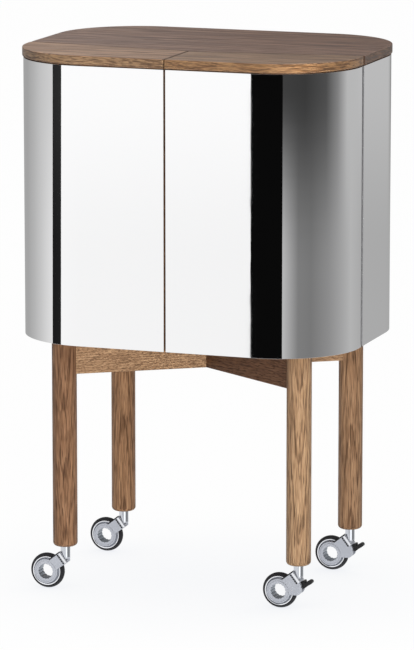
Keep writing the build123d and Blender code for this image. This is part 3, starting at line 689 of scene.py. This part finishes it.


# Castor fittings: a polished band and a row of dark marks across each arm, the marks being painted dark
# reflections, dark guards along its upper edge, a bright sleeve, and lever ribs

fittingForm = {
    "armAngle": 38.0,
    "armRise": 0.00125,
    "bandPlace": 0.0425,
    "rearShift": -0.0070,
    "bandWidth": 0.0040,
    "bandLength": 0.0209,
    "bandProud": 0.0004,
    "guardFrom": 0.0190,
    "guardTo": 0.0445,
    "guardWidth": 0.0022,
    "guardProud": 0.0020,
    "guardInset": 0.6,  # of its width, behind the arm's face
    "edgeRise": 0.0125,
    "markPlace": 0.0378,
    "markWidth": 0.0030,
    "markLength": 0.0036,
    "markPitch": 0.0042,
    "markCount": 5,
    "markProud": 0.0002,
    "sunk": 0.0003,
    "roundShare": 0.7,  # of how far a bar stands proud
    "roundSteps": 4,
    "sleeveRadius": 0.0089,
    "sleeveWall": 0.0006,
    "sleeveLow": 0.0581,
    "paddleAngle": 33.0,
    "paddleRadius": 0.0036,
    "ribCount": 4,
    "ribPitch": 0.0026,
    "ribLength": 0.0100,
    "ribWidth": 0.0011,
    "ribProud": 0.0004,
}


def slopeWays(degrees):
    # the direction that climbs towards +X by so many degrees, and the one square to it
    slope = math.radians(degrees)
    return np.array([math.cos(slope), 0, math.sin(slope)]), np.array([-math.sin(slope), 0, math.cos(slope)])


def barMesh(middle, along, out, length, width, proud):
    # a bar that lies on a face: its section, with rounded upper edges, carried from one end to the other
    along, out = np.array(along), np.array(out)
    r = proud * fittingForm["roundShare"]
    turn = np.radians(np.linspace(0, 90, fittingForm["roundSteps"]))
    right = np.stack([width / 2 - r + r * np.cos(turn), proud - r + r * np.sin(turn)], 1)
    foot = np.array([(width / 2, -fittingForm["sunk"])])
    flip = np.array([-1, 1])
    section = np.concatenate([foot, right, right[::-1] * flip, foot * flip])
    ring = np.array(middle) + section[:, :1] * np.cross(along, out) + section[:, 1:] * out
    points = np.concatenate([ring - along * length / 2, ring + along * length / 2])
    count = len(section)
    return points, gridFaces(2, count, closeColumns=True), [range(count)[::-1], range(count, 2 * count)]


def barPiece(name, bars, material, body):
    # several bars in one piece
    points, faces, ends, start = [], [], [], 0
    for barPoints, barFaces, barEnds in bars:
        points.append(barPoints)
        faces.append(barFaces + start)
        ends += [[start + k for k in end] for end in barEnds]
        start += len(barPoints)
    piece = makePiece(name, np.concatenate(points), np.concatenate(faces), material, ends)
    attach(evenNormals(piece), body)


def sleeveTube(name, axis, high):
    # a thin tube about the leg's axis: four corners of a wall's section turned about it
    form = fittingForm
    angle = np.linspace(0, 2 * np.pi, wheelForm["steps"], endpoint=False)[:, None]
    inner, outer = form["sleeveRadius"] - form["sleeveWall"], form["sleeveRadius"]
    radius = np.array([outer, outer, inner, inner])[None, :]
    height = np.array([form["sleeveLow"], high, high, form["sleeveLow"]])[None, :]
    points = np.stack(np.broadcast_arrays(
        axis.x + radius * np.cos(angle), axis.y + radius * np.sin(angle), height), 2)
    return makePiece(name, points, gridFaces(*points.shape[:2], True, True), finishes["brightSleeve"])


for corner in corners:
    form = fittingForm
    tyreLow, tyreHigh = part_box(corner + "_tyre")
    middle = (tyreLow + tyreHigh) / 2
    forkLow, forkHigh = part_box(corner + "_castor_fork")
    armWay, acrossArm = slopeWays(form["armAngle"])
    bands, marks, guards = [], [], []
    for faceY, out, shift in ((forkLow.y, (0, -1, 0), 0.0), (forkHigh.y, (0, 1, 0), form["rearShift"])):
        onFace = np.array([middle.x, faceY, middle.z])
        onMiddle = onFace + acrossArm * form["armRise"] + armWay * shift
        bands.append(barMesh(onMiddle + armWay * form["bandPlace"], acrossArm, out,
                             form["bandLength"], form["bandWidth"], form["bandProud"]))
        # painted reflection: black bars for the dark marks in the arm's polished end
        for k in range(form["markCount"]):
            step = acrossArm * form["markPitch"] * (k - (form["markCount"] - 1) / 2)
            marks.append(barMesh(onMiddle + armWay * form["markPlace"] + step, acrossArm, out,
                                 form["markLength"], form["markWidth"], form["markProud"]))
        inset = np.array(out) * form["guardWidth"] * form["guardInset"]
        onEdge = onFace - inset + acrossArm * form["edgeRise"]
        guards.append(barMesh(onEdge + armWay * (form["guardFrom"] + form["guardTo"]) / 2, armWay, acrossArm,
                              form["guardTo"] - form["guardFrom"], form["guardWidth"], form["guardProud"]))
    swivel = corner + "_swivel"
    barPiece(corner + "_arm_bands", bands, finishes["polishedRim"], swivel)
    barPiece(corner + "_arm_guards", guards, finishes["blackPlastic"], swivel)
    barPiece(corner + "_arm_reflection_bars", marks, finishes["blackPlastic"], swivel)

    legLow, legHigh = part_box(corner + "_leg")
    axis = (legLow + legHigh) / 2
    sleeve = sleeveTube(corner + "_sleeve_tube", axis, forkHigh.z)
    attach(evenNormals(sleeve), swivel)

    if corner in braked:
        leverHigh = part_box(corner + "_brake_lever")[1]
        tip = np.array([leverHigh.x - form["paddleRadius"], axis.y, leverHigh.z - form["paddleRadius"]])
        paddleWay, up = slopeWays(form["paddleAngle"])
        onTip = tip + up * form["paddleRadius"]
        ribs = [barMesh(onTip - paddleWay * form["ribPitch"] * k, (0, 1, 0), up,
                        form["ribLength"], form["ribWidth"], form["ribProud"])
                for k in range(form["ribCount"])]
        barPiece(corner + "_lever_ribs", ribs, finishes["blackPlastic"], corner + "_brake")
print("castor fittings")


# Floor, boards that the steel mirrors, lamps, world and camera

def showsWhite(tree):
    # 1 for what the camera sees directly, in a mirror or through glass
    path = addNode(tree, "ShaderNodeLightPath").outputs
    seen = calc(tree, "ADD", path["Is Camera Ray"], path["Is Glossy Ray"])
    return calc(tree, "MINIMUM", calc(tree, "ADD", seen, path["Is Transmission Ray"]), 1.0)


floorSet = {
    "halfSize": 16.0,
    "colour": (0.92, 0.92, 0.925),
    "whiteShare": 0.985,
    "shade": (0.82, 0.84, 0.885),  # the white's tone where all light is covered
    "paintedShadowReach": 0.55,
}


def makeFloor():
    material, tree = emptyMaterial("paleFloor")
    matt = addNode(tree, "ShaderNodeBsdfDiffuse", {"Color": (*floorSet["colour"], 1)})
    # painted shadow: an ambient-occlusion node dims the white where the object covers the floor from soft
    # light all round
    cover = addNode(tree, "ShaderNodeAmbientOcclusion", {"Distance": floorSet["paintedShadowReach"]})
    tone = mixed(tree, cover.outputs["AO"], (*floorSet["shade"], 1), (1, 1, 1, 1))
    white = addNode(tree, "ShaderNodeEmission", {"Color": tone, "Strength": 1.0})
    share = calc(tree, "MULTIPLY", showsWhite(tree), floorSet["whiteShare"])
    mix = addNode(tree, "ShaderNodeMixShader", {0: share, 1: matt.outputs[0], 2: white.outputs[0]})
    addNode(tree, "ShaderNodeOutputMaterial", {"Surface": mix.outputs[0]})
    s = floorSet["halfSize"]
    square = np.array([(-s, -s, 0), (s, -s, 0), (s, s, 0), (-s, s, 0)])
    makePiece("floor", square, [(0, 1, 2, 3)], material, closed=False)


# boards stand round the trolley and cards round each castor's sleeve. Heights in change are where the
# lower tones turn into the upper ones
boardSet = {"radius": 1.5, "low": 0.0, "middle": 0.55, "high": 1.7, "change": (0.40, 0.80),
            "steps": 64, "glow": 1.276}
cardSet = {"radius": 0.11, "low": 0.032, "middle": 0.05, "high": 0.066, "change": (0.04, 0.05),
           "steps": 48, "glow": 1.7}
black = [(0, 0.003), (1, 0.003)]
boardTones = {
    "frontFlag": {"fromAngle": -10.2, "toAngle": 26.5, "upper": black, "lower": black},
    "leftFlag": {
        "fromAngle": -57.6, "toAngle": -45.2, "lean": 4.6,
        "upper": [(0, 0.022), (1, 0.026)],
        "lower": [(0, 0.011), (1, 0.014)]},
    "frontCard": {
        "fromAngle": -52.0, "toAngle": -4.0, "behind": 0.02,
        "upper": [(0, 1.0), (1, 1.0)],
        "lower": [(0, 0.95), (1, 0.92)]},
    "leftBoard": {
        "fromAngle": -180, "toAngle": -57.6, "lean": 4.6,
        "upper": [(0, 0.12), (0.09, 0.14), (0.20, 0.30), (0.56, 0.35), (0.72, 0.45), (0.84, 0.55), (1, 0.64)],
        "lower": [(0, 0.32), (0.12, 0.30), (0.56, 0.36), (0.72, 0.46), (0.84, 0.57), (1, 0.76)]},
    "rightBoard": {
        "fromAngle": 26.5, "toAngle": 180,
        "upper": [(0, 0.050), (0.17, 0.042), (0.34, 0.075), (0.45, 0.22), (0.56, 0.48), (0.84, 0.48),
                  (1, 0.12)],
        "lower": [(0, 0.50), (0.12, 0.21), (0.22, 0.19), (0.37, 0.27), (0.62, 0.46), (1, 0.32)]},
    "rearBoard": {
        "fromAngle": 172, "toAngle": 188, "behind": 0.02,
        "upper": [(0, 0.12), (1, 0.12)],
        "lower": [(0, 0.32), (1, 0.32)]},
}
sleeveStops = [(0, 0.22), (0.055, 0.22), (0.075, 1.0), (0.335, 1.0), (0.38, 0.16), (1, 0.26)]
sleeveTones = {"fromAngle": 14, "toAngle": 150, "upper": sleeveStops, "lower": sleeveStops}


def studioBoard(name, fromAngle, toAngle, upper, lower, lean=0.0, behind=0.0, form=boardSet, about=(0, 0)):
    # a board bent round the trolley, or round a point beside it, and seen only in its metal: a point lies
    # the radius from the middle, at its angle and height. Angles are from the front towards the right at
    # middle height, and lean turns them by so many degrees a metre up. Upper and lower are grey stops
    # along it. Behind sets it farther out
    material, tree = emptyMaterial(name + "Grey")
    spot = addNode(tree, "ShaderNodeSeparateXYZ", {0: addNode(tree, "ShaderNodeUVMap").outputs[0]}).outputs
    low, high = form["low"], form["high"]
    change = [(h - low) / (high - low) for h in form["change"]]
    rise = addNode(tree, "ShaderNodeMapRange", {
        "Value": spot["Y"], "From Min": change[0], "From Max": change[1]},
        interpolation_type="SMOOTHSTEP").outputs[0]
    grey = mixed(tree, rise, ramp(tree, spot["X"], lower), ramp(tree, spot["X"], upper))
    shine = addNode(tree, "ShaderNodeEmission", {"Color": grey, "Strength": form["glow"]})
    addNode(tree, "ShaderNodeOutputMaterial", {"Surface": shine.outputs[0]})
    t = np.linspace(0, 1, form["steps"])
    height = np.array([low, high])[:, None]
    angle = np.radians(fromAngle + (toAngle - fromAngle) * t + lean * (height - form["middle"]))
    radius = form["radius"] + behind
    points = np.stack(np.broadcast_arrays(
        about[0] + radius * np.sin(angle), about[1] - radius * np.cos(angle), height), 2)
    board = makePiece(name, points, gridFaces(2, len(t)), material, closed=False)
    uv = np.concatenate([np.c_[t, np.full(len(t), k)] for k in (0.0, 1.0)])
    layer = board.data.uv_layers.new(name="along")
    loops = np.zeros(len(board.data.loops), int)
    board.data.loops.foreach_get("vertex_index", loops)
    layer.data.foreach_set("uv", uv[loops].ravel())
    for kind in ("camera", "diffuse", "transmission", "shadow", "volume_scatter"):
        setattr(board, "visible_" + kind, False)


makeFloor()
for name, tones in boardTones.items():
    studioBoard(name, **tones)
for corner in corners:
    low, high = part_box(corner + "_leg")
    studioBoard(corner + "Card", **sleeveTones, form=cardSet, about=((low + high) / 2).xy)

# square lamps, and one soft spot with a cone in degrees on the front edge of the right door's top
lampSet = {
    "keyLamp": {"place": (1.6, -3.4, 0.6), "aim": (0.0, 0.0, 0.5), "size": 1.3, "power": 96},
    "topLamp": {"place": (-0.4, -0.3, 2.2), "aim": (-0.25, -0.15, 1.0), "size": 0.5, "power": 7.5},
    "sideLamp": {"place": (2.1, -1.8, 1.9), "aim": (0.2, -0.1, 0.8), "size": 1.0, "power": 20,
                 "mirrored": True},
    "edgeSpot": {"place": (1.12, -0.87, 0.90), "aim": (0.248, -0.212, 0.987), "size": 0.03, "power": 80,
                 "cone": 5.0},
}


def makeLamp(name, place, aim, size, power, mirrored=False, cone=None):
    # mirrored lamps show in glossy surfaces
    data = bpy.data.lights.new(name, "SPOT" if cone else "AREA")
    data.energy = power
    if cone:
        data.shadow_soft_size = size
        data.spot_size = math.radians(cone)
        data.spot_blend = 1.0
    else:
        data.size = size
    lamp = bpy.data.objects.new(name, data)
    lamp.location = place
    lamp.rotation_euler = (Vector(aim) - Vector(place)).to_track_quat("-Z", "Y").to_euler()
    lamp.visible_glossy = mirrored
    scene.collection.objects.link(lamp)


for name, lamp in lampSet.items():
    makeLamp(name, **lamp)

worldSet = {"ambient": 0.23, "seen": 0.988}
world = bpy.data.worlds.new("studio")
scene.world = world
world.use_nodes = True
worldTree = world.node_tree
strength = between(worldTree, showsWhite(worldTree), worldSet["ambient"], worldSet["seen"])
background = worldTree.nodes["Background"]
background.inputs["Color"].default_value = (1, 1, 1, 1)
worldTree.links.new(strength, background.inputs["Strength"])

cameraSet = {
    "place": (2.6583, -7.5157, 1.9756),
    "turn": 19.489,
    "tilt": 10.629,
    "lens": 245.99,
    "sensor": 36.0,
}
cameraData = bpy.data.cameras.new("camera")
cameraData.lens = cameraSet["lens"]
cameraData.sensor_width = cameraSet["sensor"]
camera = bpy.data.objects.new("camera", cameraData)
camera.location = cameraSet["place"]
camera.rotation_euler = (math.radians(90 - cameraSet["tilt"]), 0, math.radians(cameraSet["turn"]))
scene.collection.objects.link(camera)
scene.camera = camera
scene.view_settings.view_transform = "Standard"
print("studio and camera")

bpy.context.view_layer.update()
